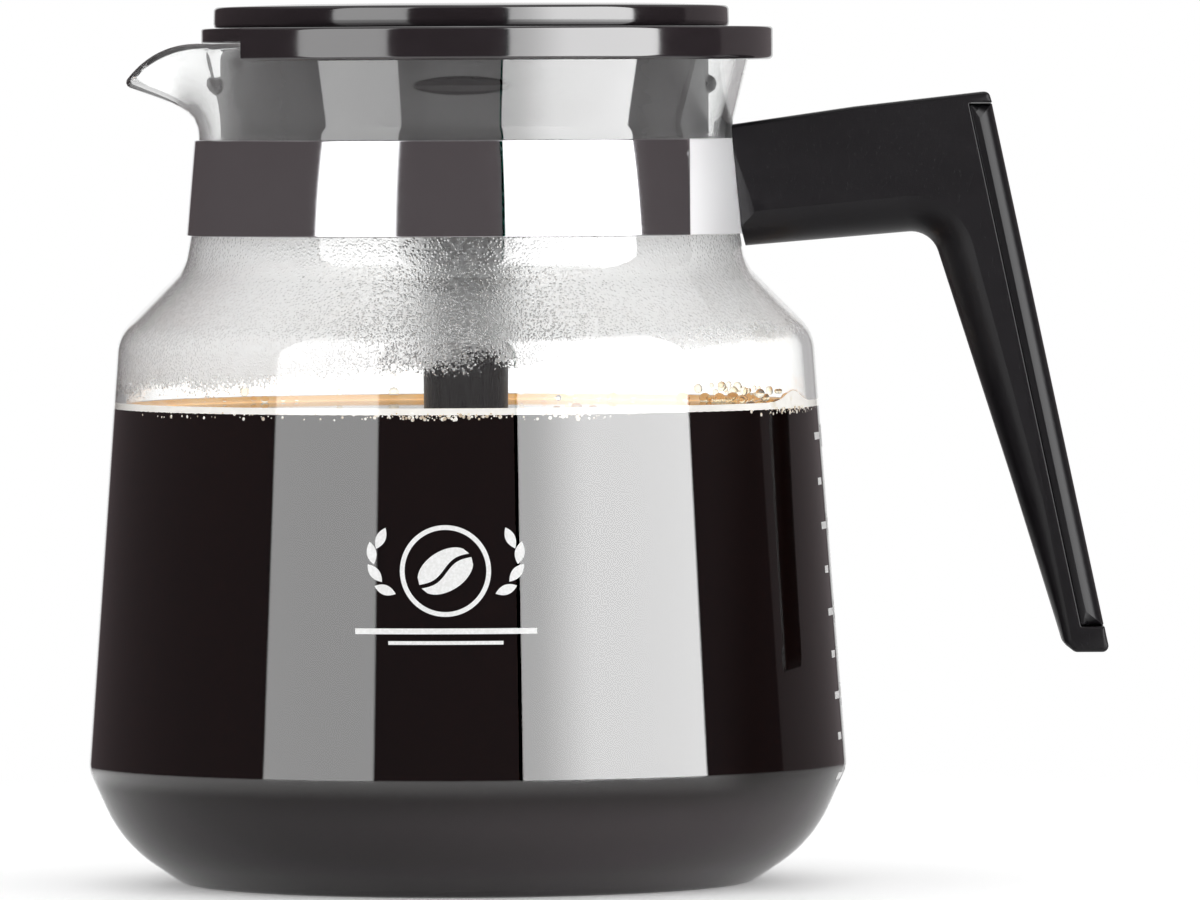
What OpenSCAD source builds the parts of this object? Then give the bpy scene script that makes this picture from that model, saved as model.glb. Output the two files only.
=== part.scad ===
// Glass coffee jug with a pouring lip, a steel neck band, a clamped plastic
// handle and a lift-off lid that carries a mixing tube.
// Origin: centre of the flat base. +Z up, handle towards +X, pouring lip towards -X.

/* [Glass jug] */
// Height of the glass, base to rim
jug_h = 163.5; // [150:0.5:180]
// Radius of the flat base
base_r = 55.5; // [45:0.5:60]
// Radius at the widest place, low on the body
belly_r = 74; // [70:0.1:80]
// Height of the widest place
belly_z = 22.6; // [18:0.1:30]
// Radius at the top of the straight wall
shoulder_r = 67.8; // [64:0.1:72]
// Height of the top of the straight wall
shoulder_z = 107.2; // [100:0.1:112]
// Outer radius of the mouth
rim_r = 55.8; // [54:0.1:60]
// Thickness of the glass
glass_t = 2.3; // [1.8:0.1:3]

/* [Pouring lip] */
// Reach of the lip's tip from the jug's axis
lip_reach = 66.5; // [60:0.5:72]
// Height of the lip's tip
lip_tip_z = 154; // [150:0.5:160]
// Half angle of the cone that the lip is drawn from
lip_half_angle = 44; // [36:1:50]
// Climb of the lip's underside towards the tip, in degrees
lip_climb = 12.6; // [8:0.2:18]

/* [Neck band] */
// Outer radius of the band's lower edge
band_r = 54.4; // [53:0.1:56]
// Height of the band's lower edge
band_z = 126.4; // [124:0.1:128]
// Width of the band
band_w = 18.6; // [12:0.1:20]
// How much narrower the band's upper edge is
band_taper = 1.6; // [0:0.1:2]
// Thickness of the steel
band_t = 0.5; // [0.4:0.1:1]
// Thickness of the liner between the steel and the glass
liner_t = 0.3; // [0.2:0.1:0.8]

/* [Handle] */
// Width of the handle across the hand
handle_w = 18; // [16:0.5:22]
// Reach of the handle's lower tip from the jug's axis
handle_reach = 125.9; // [115:0.1:135]
// Height of the handle's lower tip
handle_low_z = 44.6; // [35:0.1:60]
// Height of the handle's upper back corner
handle_top_z = 153.9; // [150:0.1:156]
// Depth of the cover strip along the back
cover_d = 4.3; // [3:0.1:6]
// Wall around the hollow of the grip
handle_wall = 2.6; // [2:0.1:4]

/* [Lid] */
// Radius of the cover disc
cover_r = 50.3; // [48:0.1:51]
// How far the disc is set off the jug's axis, towards the handle
cover_shift = 1.4; // [0:0.1:2]
// Height of the cover disc's top above the base
lid_top_z = 171.4; // [170:0.1:176]
// Radius of the plate under the cover disc
plate_r = 51.3; // [51:0.1:53]
// Outer radius of the brim around the mouth
brim_r = 60.2; // [59:0.1:64]
// Half angle of the brim's gap at the pouring lip
brim_gap = 45; // [35:1:60]
// Outer radius of the skirt inside the mouth
skirt_r = 47.6; // [44:0.1:48]
// Height of the skirt's lower edge above the base
skirt_z = 139; // [132:0.5:150]
// Radius of the drip inlet in the cover disc
inlet_r = 7; // [5:0.5:9]

/* [Mixing tube] */
// Outer radius of the tube at its top
tube_r = 8.8; // [7:0.1:10]
// Outer radius of the tube at its foot
tube_foot_r = 7.6; // [7:0.1:9]
// Height of the tube's foot above the base
tube_z = 13; // [8:0.5:30]
// Wall of the tube
tube_t = 1.3; // [1:0.1:1.8]

/* [Hidden] */
$fn = 128;

// Gap between pieces of one body that are pushed together
seat_gap = 0.1;

// ---- outlines with rounded corners ----

function unit(v) = v / norm(v);
function xz(p) = [p.x, p.y];
function left_of(p, q) = let (d = unit(xz(q) - xz(p))) [-d.y, d.x];

// The arc that turns the corner q of the path p, q, s, with the radius q[2]
function corner(p, q, s, steps) =
    let (
        a = unit(xz(p) - xz(q)),
        b = unit(xz(s) - xz(q)),
        half = acos(a * b) / 2,
        centre = xz(q) + unit(a + b) * q[2] / sin(half),
        from = xz(q) + a * q[2] / tan(half) - centre,
        to = xz(q) + b * q[2] / tan(half) - centre
    )
    [for (i = [0:steps]) centre + unit(from * (1 - i / steps) + to * i / steps) * q[2]];

// A path of [x, z, radius] with its corners turned into arcs
function rounded(path, steps = 8) = [
    for (i = [0:len(path) - 1])
        each i == 0 || i == len(path) - 1 || path[i][2] == 0
            ? [xz(path[i])]
            : corner(path[i - 1], path[i], path[i + 1], steps)
];

// A path moved to its left by t, with the corner radii changed to match
function inset(path, t) = [
    for (i = [0:len(path) - 1])
        let (
            n0 = i == 0 ? left_of(path[0], path[1]) : left_of(path[i - 1], path[i]),
            n1 = i == len(path) - 1 ? n0 : left_of(path[i], path[i + 1]),
            turns_left = n0.x * n1.y - n0.y * n1.x > 0,
            moved = xz(path[i]) + t * (n0 + n1) / (1 + n0 * n1)
        )
        [moved.x, moved.y, path[i][2] == 0 ? 0 : path[i][2] + (turns_left ? -t : t)]
];

// ---- glass jug ----

// The neck's outer radius under the band, which narrows upwards
neck_low_r = band_r - band_t - liner_t;
neck_slope = band_taper / band_w;
throat_z = 146.2;

jug_outside = [
    [0, 0, 0],
    [base_r, 0, 3.5],
    [base_r + 12, 8.2, 26],
    [belly_r, belly_z, 5],
    [shoulder_r, shoulder_z, 9],
    [neck_low_r + 1.1, band_z - 6, 8],
    [neck_low_r, band_z, 10],
    [neck_low_r - neck_slope * (throat_z - band_z), throat_z, 9],
    [rim_r, jug_h, 0]
];

module turned(path) rotate_extrude() polygon(concat(rounded(path), [[0, path[len(path) - 1].y]]));

// The cone that the lip is drawn from: its apex is past the tip, on the line of the underside
lip_axis_angle = lip_climb - lip_half_angle;
apex_past_tip = 2.9;
lip_apex = [-lip_reach - apex_past_tip, lip_tip_z - 0.1];
lip_length = 26;
lip_root_z = 148;

module lip_cone(shrink = 0) {
    reach = lip_length - shrink / sin(lip_half_angle);
    translate([lip_apex.x, 0, lip_apex.y])
        rotate([0, 90 + lip_axis_angle, 0])
            translate([0, 0, shrink / sin(lip_half_angle)])
                cylinder(r1 = 0.001, r2 = reach * tan(lip_half_angle), h = reach);
}

// Side view of the space that the lip keeps to: a drooping beak
module lip_side() {
    beak = [
        [-30, jug_h, 0],
        [-54.5, jug_h, 5],
        [-lip_reach, lip_tip_z + 0.6, 2],
        [-lip_reach + 0.6, lip_root_z, 0],
        [-30, lip_root_z, 0]
    ];
    rotate([90, 0, 0])
        linear_extrude(60, center = true)
            polygon(rounded(beak));
}

module glass_jug() {
    color([0.86, 0.9, 0.9, 0.4])
        difference() {
            union() {
                turned(jug_outside);
                intersection() {
                    lip_cone();
                    lip_side();
                }
            }
            turned(concat(inset(jug_outside, glass_t), [[rim_r - glass_t + 0.3, jug_h + 1, 0]]));
            lip_cone(shrink = glass_t);
        }
}

// ---- neck band and its clamp ----

// Half the space between the band's two folded ends
lug_gap = 4.2;
lug_start = 52.9;
lug_reach = 63;
screw_z = 137;
screw_r = 2;

// A conical hoop that stands gap off the glass neck and is t thick
module hoop(gap, t, z0, z1) {
    function r_at(z) = neck_low_r - neck_slope * (z - band_z) + gap;
    rotate_extrude()
        polygon([[r_at(z0), z0], [r_at(z0) + t, z0], [r_at(z1) + t, z1], [r_at(z1), z1]]);
}

module gap_at_handle(half) translate([40, -half, 120]) cube([30, 2 * half, 32]);

module band_liner() {
    color("gainsboro")
        difference() {
            hoop(0, liner_t, band_z, band_z + band_w);
            gap_at_handle(lug_gap + 1);
        }
}

module neck_band() {
    lug_low = band_z + 1.6;
    lug_h = band_w - 3.2;
    color("silver")
        difference() {
            union() {
                difference() {
                    hoop(liner_t, band_t, band_z, band_z + band_w);
                    gap_at_handle(lug_gap);
                }
                for (side = [-1, 1])
                    translate([lug_start, side * (lug_gap + band_t / 2) - band_t / 2, lug_low])
                        cube([lug_reach - lug_start, band_t, lug_h]);
            }
            clamp_pin_hole(pin_r + 0.05);
        }
}

pin_r = 1.25;
pin_at = [59.4, 141.7];

module clamp_pin_hole(r)
    translate([pin_at.x, 0, pin_at.y]) rotate([90, 0, 0]) cylinder(r = r, h = 30, center = true);

// Steel block between the band's folded ends, tapped for the clamp screw
module clamp_block() {
    block_x = 55.6;
    block_z = 130.4;
    block_h = 13.6;
    color("dimgray")
        difference() {
            translate([block_x, -lug_gap + seat_gap, block_z])
                cube([lug_reach - block_x, 2 * (lug_gap - seat_gap), block_h]);
            translate([50, 0, screw_z]) rotate([0, 90, 0]) cylinder(r = screw_r + 0.05, h = 20);
            clamp_pin_hole(pin_r + 0.05);
        }
}

module clamp_pin() {
    color("silver")
        translate([pin_at.x, 0, pin_at.y])
            rotate([90, 0, 0])
                cylinder(r = pin_r, h = 2 * (lug_gap + band_t), center = true);
}

// The screw's seat in the arm, and its head
seat_x = 73;
washer_t = 0.8;
washer_r = 4.2;
head_r = 3.6;
head_h = 2.8;

module clamp_screw() {
    tip_x = 56.2;
    slot_depth = 0.7;
    head_x = seat_x + washer_t;
    color("silver")
        difference() {
            union() {
                translate([tip_x, 0, screw_z])
                    rotate([0, 90, 0]) cylinder(r = screw_r, h = head_x - tip_x + 0.5);
                translate([head_x, 0, screw_z])
                    rotate([0, 90, 0]) cylinder(r = head_r, h = head_h);
            }
            // cross recess for a screwdriver
            for (turn = [0, 90])
                translate([head_x + head_h, 0, screw_z])
                    rotate([turn, 0, 0]) cube([4 * slot_depth, 0.9, 4.4], center = true);
        }
}

module screw_washer() {
    color("silver")
        translate([seat_x, 0, screw_z])
            rotate([0, 90, 0])
                difference() {
                    cylinder(r = washer_r, h = washer_t);
                    translate([0, 0, -1]) cylinder(r = screw_r + 0.2, h = washer_t + 2);
                }
}

// ---- handle ----

nose_x = 48;
back_top_x = 102.2;
inner_corner = [90.9, 126.7];
grip_toe_x = 117;
arm_low_z = 123.7;
arm_top_z = 147.6;
edge_chamfer = 2.4;

arm_outline = [
    [nose_x, arm_low_z], [inner_corner.x + 9, inner_corner.y + 0.6], [back_top_x - 0.4, handle_top_z - 1],
    [back_top_x - 1.6, handle_top_z], [76, arm_top_z + 3.4], [nose_x, arm_top_z]
];
grip_outline = [
    [inner_corner.x - 2.6, inner_corner.y + 2], [grip_toe_x, handle_low_z + 1.6],
    [grip_toe_x + 2, handle_low_z], [handle_reach - 1, handle_low_z], [handle_reach, handle_low_z + 1],
    [back_top_x - 0.2, handle_top_z - 1.2], [back_top_x - 4, handle_top_z - 1.2]
];

// The corner points of a convex outline, each moved by d towards their middle
function sum(list, i = 0) = i == len(list) - 1 ? list[i] : list[i] + sum(list, i + 1);
function shrunk(points, d) =
    let (middle = sum(points) / len(points))
    [for (p = points) p + unit(middle - p) * d];

module side_slab(points, width)
    rotate([90, 0, 0]) linear_extrude(width, center = true) polygon(points);

// A bar with the given side view, chamfered along all its edges
module chamfered_bar(points)
    hull() {
        side_slab(points, handle_w - 2 * edge_chamfer);
        side_slab(shrunk(points, edge_chamfer), handle_w);
    }

// The line where the cover strip meets the grip, square to the back
back_slope = (handle_reach - back_top_x) / (handle_top_z - handle_low_z);
function back_x(z) = back_top_x + (handle_top_z - z) * back_slope;

// Heights between which the cover strip is let into the back
cover_low_z = handle_low_z + 5;
cover_top_z = handle_top_z - 2.3;

module behind(d, width, gap = 0) {
    z0 = cover_low_z + gap;
    z1 = cover_top_z - gap;
    side_slab([[back_x(z0) - d, z0], [back_x(z0) + 20, z0], [back_x(z1) + 20, z1],
               [back_x(z1) - d, z1]], width);
}

// The hollow of the grip, open at its back
module grip_hollow(shrink = 0) {
    w = handle_w - 2 * handle_wall - 2 * shrink;
    low_z = handle_low_z + 8 + shrink;
    high_z = handle_top_z - 6 - shrink;
    wall = handle_wall + 1.4 + shrink;
    front_slope = (grip_toe_x - inner_corner.x) / (inner_corner.y - handle_low_z);
    function front_x(z) = inner_corner.x + (inner_corner.y - z) * front_slope + wall;
    side_slab([[front_x(low_z), low_z], [back_x(low_z) + 1, low_z], [back_x(high_z) + 1, high_z],
               [front_x(inner_corner.y + 4), high_z], [front_x(inner_corner.y), inner_corner.y]], w);
}

module handle_body() {
    color([0.13, 0.13, 0.14])
        difference() {
            union() {
                chamfered_bar(arm_outline);
                chamfered_bar(grip_outline);
            }
            // seat of the cover strip, and the hollow behind it
            behind(cover_d, handle_w + 2);
            grip_hollow();
            // the nose follows the band
            translate([0, 0, band_z - 6])
                cylinder(r1 = band_r + 6 * neck_slope + seat_gap,
                         r2 = band_r - (band_w + 8) * neck_slope + seat_gap, h = band_w + 14);
            // pocket for the band's folded ends and the clamp block
            translate([45, -lug_gap - band_t - 0.3, band_z + 1])
                cube([lug_reach + 0.6 - 45, 2 * (lug_gap + band_t + 0.3), band_w - 2]);
            // screw hole, and the channel that its head goes through
            translate([50, 0, screw_z]) rotate([0, 90, 0]) cylinder(r = screw_r + 0.3, h = 40);
            translate([seat_x, 0, screw_z]) rotate([0, 90, 0]) cylinder(r = washer_r + 0.4, h = 40);
        }
}

module handle_cover() {
    color([0.1, 0.1, 0.11])
        union() {
            // strip, rounded across its back
            intersection() {
                union() {
                    chamfered_bar(arm_outline);
                    chamfered_bar(grip_outline);
                }
                behind(cover_d - seat_gap, handle_w + 2, gap = seat_gap);
            }
            // tongue that presses into the hollow of the grip
            difference() {
                intersection() {
                    grip_hollow(shrink = 0.15);
                    behind(cover_d + 3, handle_w);
                }
                behind(cover_d - seat_gap - 0.4, handle_w);
                grip_hollow(shrink = 1.6);
            }
        }
}

// ---- lid ----

plate_z = jug_h + 0.3;
plate_top_z = 166.7;
brim_z = 160.7;
socket_r = 10.9;
socket_z = 151;
cover_z = plate_top_z;

// Pads around the skirt that centre it in the mouth
pad_z = 157;
pad_angle = 22;

module lid_body() {
    skirt_t = 2;
    brim_t = 2.2;
    brim_clear = 0.5;
    color([0.12, 0.11, 0.12])
        difference() {
            union() {
                // plate, skirt and the socket for the tube
                translate([0, 0, plate_z]) cylinder(r = plate_r, h = plate_top_z - plate_z);
                difference() {
                    translate([0, 0, skirt_z]) cylinder(r = skirt_r, h = plate_z - skirt_z + 1);
                    translate([0, 0, skirt_z - 1])
                        cylinder(r = skirt_r - skirt_t, h = plate_z - skirt_z + 1);
                }
                translate([0, 0, socket_z]) cylinder(r = socket_r, h = plate_z - socket_z + 1);
                // centring pads
                for (i = [0:3])
                    rotate(i * 90 - pad_angle / 2)
                        rotate_extrude(angle = pad_angle)
                            translate([skirt_r - 0.4, pad_z]) circle(r = 1.6);
                // brim that hangs outside the mouth, open at the pouring lip
                rotate(brim_gap - 180)
                    rotate_extrude(angle = 360 - 2 * brim_gap)
                        polygon([
                            [plate_r - 1, plate_z], [brim_r - brim_t, plate_z],
                            [brim_r - brim_t, brim_z], [brim_r - 0.5, brim_z], [brim_r, brim_z + 0.6],
                            [brim_r, plate_top_z - 0.5], [brim_r - 0.5, plate_top_z],
                            [plate_r - 1, plate_top_z]
                        ]);
            }
            // bore of the tube's socket, with the drip path above it
            translate([0, 0, socket_z - 1]) cylinder(r = tube_r + seat_gap, h = tube_top_z - socket_z + 1);
            translate([0, 0, tube_top_z - 1]) cylinder(r = inlet_r + 0.2, h = 10);
        }
}

module lid_cover() {
    rim_h = lid_top_z - 0.8;
    dish_r = 21;
    color([0.13, 0.12, 0.13])
        difference() {
            // disc with a dish in its middle, set a little towards the handle
            translate([cover_shift, 0, 0])
                rotate_extrude()
                    polygon(concat(
                        [[0, cover_z + seat_gap], [cover_r - 0.3, cover_z + seat_gap]],
                        [[cover_r, cover_z + 0.4]],
                        corner([cover_r, cover_z], [cover_r, rim_h, 1], [cover_r - 20, rim_h + 0.35], 6),
                        [[cover_r - 12, lid_top_z - 0.15], [dish_r + 4, lid_top_z]],
                        [[dish_r, lid_top_z - 0.4], [inlet_r + 1.2, cover_z + 2.2], [0, cover_z + 1.4]]
                    ));
            // drip inlet, over the tube
            translate([0, 0, cover_z - 1]) cylinder(r = inlet_r, h = 10);
        }
}

tube_top_z = 162.6;

module mixing_tube() {
    slot_w = 4;
    slot_h = 16;
    bore_foot_r = tube_foot_r - tube_t;
    color([0.1, 0.1, 0.1])
        difference() {
            translate([0, 0, tube_z])
                cylinder(r1 = tube_foot_r, r2 = tube_r, h = tube_top_z - tube_z - seat_gap);
            translate([0, 0, tube_z - 1])
                cylinder(r1 = bore_foot_r, r2 = inlet_r, h = tube_top_z - tube_z + 2);
            // slots that let the coffee out at the foot
            for (turn = [0, 90])
                rotate(turn)
                    translate([-tube_r - 1, -slot_w / 2, tube_z - 1])
                        cube([2 * tube_r + 2, slot_w, slot_h + 1]);
        }
}

glass_jug();
band_liner();
neck_band();
clamp_block();
clamp_pin();
clamp_screw();
screw_washer();
handle_body();
handle_cover();
lid_body();
lid_cover();
mixing_tube();
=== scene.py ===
import math

import bmesh
import bpy
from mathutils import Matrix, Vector


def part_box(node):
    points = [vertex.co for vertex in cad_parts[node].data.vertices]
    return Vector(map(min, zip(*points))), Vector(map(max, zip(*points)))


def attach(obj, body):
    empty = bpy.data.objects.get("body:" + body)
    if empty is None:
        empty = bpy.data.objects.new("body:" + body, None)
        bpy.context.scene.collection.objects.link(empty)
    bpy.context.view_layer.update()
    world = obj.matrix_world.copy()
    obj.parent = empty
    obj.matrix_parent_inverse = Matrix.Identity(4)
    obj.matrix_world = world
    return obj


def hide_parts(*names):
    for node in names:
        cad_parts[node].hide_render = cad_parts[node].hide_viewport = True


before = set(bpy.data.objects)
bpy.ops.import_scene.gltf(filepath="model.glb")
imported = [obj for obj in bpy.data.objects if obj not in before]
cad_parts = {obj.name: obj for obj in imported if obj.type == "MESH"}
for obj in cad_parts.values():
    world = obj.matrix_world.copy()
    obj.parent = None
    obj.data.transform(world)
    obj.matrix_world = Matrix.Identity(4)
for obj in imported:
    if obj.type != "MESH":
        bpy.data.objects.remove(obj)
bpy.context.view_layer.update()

# ---------------------------------------------------------------------------
# Camera, light and table.
# A long lens at table height, a white studio with tall soft boxes to the left
# and right of the camera, and a pale table that fades into the white.
# ---------------------------------------------------------------------------

MM = 0.001
MM_PER_METRE = 1000


class Value:
    """A shader socket that does sums: each operator adds the Math node it stands for."""

    def __init__(self, tree, socket):
        self.tree = tree
        self.socket = socket

    def math(self, operation, *others):
        node = self.tree.nodes.new("ShaderNodeMath")
        node.operation = operation
        for slot, value in zip(node.inputs, (self, *others)):
            plug(self.tree, slot, value)
        return Value(self.tree, node.outputs[0])

    def __add__(self, other):
        return self.math("ADD", other)

    def __sub__(self, other):
        return self.math("SUBTRACT", other)

    def __mul__(self, other):
        return self.math("MULTIPLY", other)

    def __truediv__(self, other):
        return self.math("DIVIDE", other)

    def __rsub__(self, other):
        return (self * -1) + other

    __radd__ = __add__
    __rmul__ = __mul__

    def ramp(self, low, high):
        """0 up to low, 1 from high on, smooth between them."""
        t = ((self - low) / (high - low)).math("MINIMUM", 1).math("MAXIMUM", 0)
        return t * t * (3 - 2 * t)


def plug(tree, slot, value):
    if isinstance(value, Value):
        tree.links.new(value.socket, slot)
    elif isinstance(value, bpy.types.NodeSocket):
        tree.links.new(value, slot)
    else:
        slot.default_value = value


def add_node(tree, kind, settings=None, **sockets):
    """One node: settings, then the values or links of its sockets, named or by number (s0, s1...)."""
    node = tree.nodes.new(kind)
    for name, value in (settings or {}).items():
        setattr(node, name, value)
    for name, value in sockets.items():
        is_number = name[0] == "s" and name[1:].isdigit()
        key = int(name[1:]) if is_number else name.replace("_", " ").strip()
        plug(tree, node.inputs[key], value)
    return node


# what the jug mirrors: azimuths in degrees from the camera's side towards the handle, then brightness
LEFT_BOX = (-64, -28, 2.3)
RIGHT_BOX = (17, 78, 5.8)
WHITE_WALL = (112, 164, 0.22)
FAR_WALL = (164, 170, 0.95)
HEM = (19, 42, 2.4)
BLUR = 0.6
STUDIO_DARK = 0.07
# heights of a direction, from -1 straight down to 1 straight up, then brightness
CEILING = (0.35, 0.9, 0.35)
FLOOR = (-0.85, -0.5, 0.95)
BOX_TOP = (0.55, 0.8)
# what shows through the glass
ROOM_GLOW = 0.65
CARD_SHADE = 0.4
SECOND_GLANCE = 0.5


def studio_world():
    world = bpy.data.worlds.new("studio")
    world.use_nodes = True
    world.cycles.sampling_method = "NONE"
    tree = world.node_tree
    tree.nodes.clear()
    way = add_node(tree, "ShaderNodeTexCoord").outputs["Generated"]
    split = add_node(tree, "ShaderNodeSeparateXYZ", Vector=way)
    x, y, z = (Value(tree, out) for out in split.outputs)
    azimuth = x.math("ARCTAN2", y * -1) * (180 / math.pi)
    rays = add_node(tree, "ShaderNodeLightPath").outputs
    through = Value(tree, rays["Is Transmission Ray"])
    mirrored = Value(tree, rays["Is Glossy Ray"]) * (1 - through)
    glanced = Value(tree, rays["Glossy Depth"]).math("MINIMUM", 1)

    tall = 1 - z.ramp(*BOX_TOP)
    mirror = STUDIO_DARK
    for low, high, strength in (LEFT_BOX, RIGHT_BOX, WHITE_WALL):
        between = azimuth.ramp(low - BLUR, low + BLUR) * (1 - azimuth.ramp(high - BLUR, high + BLUR))
        mirror = mirror + between * tall * (strength - STUDIO_DARK)
    far = azimuth.math("ABSOLUTE").ramp(*FAR_WALL[:2])
    mirror = mirror * (1 - far) + far * FAR_WALL[2]
    # the right box is a little weaker where its cloth hangs over the stand
    hem = azimuth.ramp(RIGHT_BOX[0] - 1, RIGHT_BOX[0]) * (1 - azimuth.ramp(*HEM[:2]))
    mirror = mirror - hem * tall * HEM[2]
    mirror = mirror + z.ramp(*CEILING[:2]) * CEILING[2]
    floor_glow = 1 - z.ramp(*FLOOR[:2])
    mirror = mirror * (1 - floor_glow) + floor_glow * FLOOR[2]

    # narrow dark cards stand between the eight sides of the white room, and draw the glass's edges
    cards = 0.5 - (x.math("ARCTAN2", y) * 8).math("COSINE") * 0.5
    bright = 1 + (ROOM_GLOW - cards.ramp(0.8, 0.97) * CARD_SHADE) * through
    bright = bright * (1 - glanced * SECOND_GLANCE)
    strength = mirror * mirrored + bright * (1 - mirrored)
    # the dark part of the room is a warm brown
    warm = mirrored * (1 - mirror.ramp(0.1, 0.4))
    tint = add_node(tree, "ShaderNodeMix", {"data_type": "RGBA"}, s0=warm,
                    s6=(1, 1, 1, 1), s7=(1, 0.8, 0.84, 1))
    back = add_node(tree, "ShaderNodeBackground", Color=tint.outputs[2], Strength=strength)
    out = add_node(tree, "ShaderNodeOutputWorld")
    tree.links.new(back.outputs[0], out.inputs["Surface"])
    bpy.context.scene.world = world


def put(name, data):
    """A new object in the scene, at the origin."""
    piece = bpy.data.objects.new(name, data)
    bpy.context.scene.collection.objects.link(piece)
    return piece


CAMERA_AT = (0.0261, -2.66, 0.154)
CAMERA_AIM = (0.0261, 0, 0.0842)
CAMERA_LEAN = -0.27


def studio_camera():
    data = bpy.data.cameras.new("camera")
    data.lens = 409
    data.sensor_width = 36
    data.clip_end = 20
    camera = put("camera", data)
    camera.location = CAMERA_AT
    aim = Vector(CAMERA_AIM) - camera.location
    turn = aim.to_track_quat("-Z", "Y").to_euler()
    turn.rotate_axis("Z", math.radians(CAMERA_LEAN))
    camera.rotation_euler = turn
    bpy.context.scene.camera = camera


studio_world()
studio_camera()
bpy.context.scene.view_settings.view_transform = "Standard"
BOUNCES = 24
bpy.context.scene.cycles.max_bounces = BOUNCES
bpy.context.scene.cycles.transmission_bounces = BOUNCES
bpy.context.scene.cycles.transparent_max_bounces = BOUNCES


class Finish:
    """A material under construction, with its nodes added one by one."""

    def __init__(self, name):
        self.material = bpy.data.materials.new(name)
        self.material.use_nodes = True
        self.tree = self.material.node_tree
        self.tree.nodes.clear()
        self.out = self.add("ShaderNodeOutputMaterial")
        self.place = self.add("ShaderNodeTexCoord").outputs["Object"]

    def add(self, kind, settings=None, **sockets):
        return add_node(self.tree, kind, settings, **sockets)

    def value(self, socket):
        return Value(self.tree, socket)

    def xyz(self):
        """Where the surface point is, in millimetres."""
        split = self.add("ShaderNodeSeparateXYZ", Vector=self.place)
        return [self.value(out) * MM_PER_METRE for out in split.outputs]

    def away(self):
        """How far the surface point is from the jug's axis, in millimetres."""
        x, y, _ = self.xyz()
        return (x * x + y * y).math("SQRT")

    def stretched(self, scale):
        """Object coordinates stretched by a factor for each axis."""
        return self.add("ShaderNodeMapping", Vector=self.place, Scale=scale).outputs[0]

    def noise(self, size_mm, detail=3, stretch=(1, 1, 1)):
        """Cloudy noise from 0 to 1, with lumps of about the size given."""
        node = self.add("ShaderNodeTexNoise", Vector=self.stretched(stretch),
                        Scale=MM_PER_METRE / size_mm, Detail=detail)
        return self.value(node.outputs["Fac"])

    def cells(self, size_mm):
        """Distance to the nearest of many scattered points, one in each cell of the size given."""
        node = self.add("ShaderNodeTexVoronoi", Vector=self.place, Scale=MM_PER_METRE / size_mm)
        return self.value(node.outputs["Distance"])

    def blend(self, factor, first, second):
        """Goes from the first colour to the second."""
        node = self.add("ShaderNodeMix", {"data_type": "RGBA"}, s0=factor, s6=first, s7=second)
        return node.outputs[2]

    def bump(self, height, depth_mm):
        return self.add("ShaderNodeBump", Height=height, Distance=depth_mm * MM, Strength=1.0).outputs[0]

    def surface(self, **sockets):
        return self.add("ShaderNodeBsdfPrincipled", **sockets).outputs[0]

    def end(self, shader):
        self.tree.links.new(shader, self.out.inputs["Surface"])
        return self.material


def mesh_object(name, points, faces, sharp=35):
    """An object from points in millimetres, welded, facing outwards and smooth up to the sharp angle."""
    mesh = bpy.data.meshes.new(name)
    mesh.from_pydata([tuple(c * MM for c in p) for p in points], [], faces)
    work = bmesh.new()
    work.from_mesh(mesh)
    bmesh.ops.remove_doubles(work, verts=work.verts, dist=1e-6)
    bmesh.ops.recalc_face_normals(work, faces=work.faces)
    work.to_mesh(mesh)
    work.free()
    mesh.shade_smooth()
    mesh.set_sharp_from_angle(angle=math.radians(sharp))
    return put(name, mesh)


def grid_faces(rows, columns):
    """Faces between rows of points that each close into a ring."""
    return [(i * columns + k, i * columns + (k + 1) % columns,
             (i + 1) * columns + (k + 1) % columns, (i + 1) * columns + k)
            for i in range(rows - 1) for k in range(columns)]


def table_finish():
    """Pale matt board, lit from all round, that fades out into the white room."""
    f = Finish("table_board")
    grain = f.noise(6, 4)
    colour = f.blend(grain * 0.5, (0.95, 0.95, 0.95, 1), (0.98, 0.98, 0.98, 1))
    board = f.surface(Base_Color=colour, Roughness=0.6, Specular_IOR_Level=0.2,
                      Emission_Color=(1, 1, 1, 1), Emission_Strength=0.25,
                      Alpha=1 - f.away().ramp(150, 420))
    return f.end(board)


def table_top():
    """A round top, a hair below the jug's foot."""
    rings = [0, 60, 120, 200, 300, 430]
    sides = 64
    gap = 0.05
    turns = [2 * math.pi * k / sides for k in range(sides)]
    points = [(r * math.cos(turn), r * math.sin(turn), -gap) for r in rings for turn in turns]
    table = mesh_object("table", points, grid_faces(len(rings), sides))
    table.data.materials.append(table_finish())


table_top()

# ---------------------------------------------------------------------------
# The glass jug.
# Blown borosilicate glass, turned to one outline, its mouth flared and fire
# polished, and the lip drawn out by hand while the rim was soft.
# ---------------------------------------------------------------------------

glass_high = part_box("glass_jug")[1]
band_low, band_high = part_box("band_liner")
GLASS_T = 2.3
RIM_Z = glass_high.z / MM
RIM_R = 55.8
BELLY_R = glass_high.y / MM + 0.1
BAND_Z = band_low.z / MM
BAND_W = (band_high.z - band_low.z) / MM
NECK_R = 53.6
NECK_SLOPE = 1.6 / 18.6
THROAT_RISE = 19.8
RIM_ROLL = 1.1

# radius, height and corner radius
JUG_OUTSIDE = [
    (0, 0, 0),
    (55.5, 0, 3.5),
    (67.5, 8.2, 26),
    (BELLY_R, 22.6, 5),
    (67.8, 107.2, 9),
    (NECK_R + 1.1, BAND_Z - 6, 8),
    (NECK_R, BAND_Z, 10),
    (NECK_R - NECK_SLOPE * THROAT_RISE, BAND_Z + THROAT_RISE, 9),
    (RIM_R, RIM_Z - RIM_ROLL, 0),
]


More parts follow.
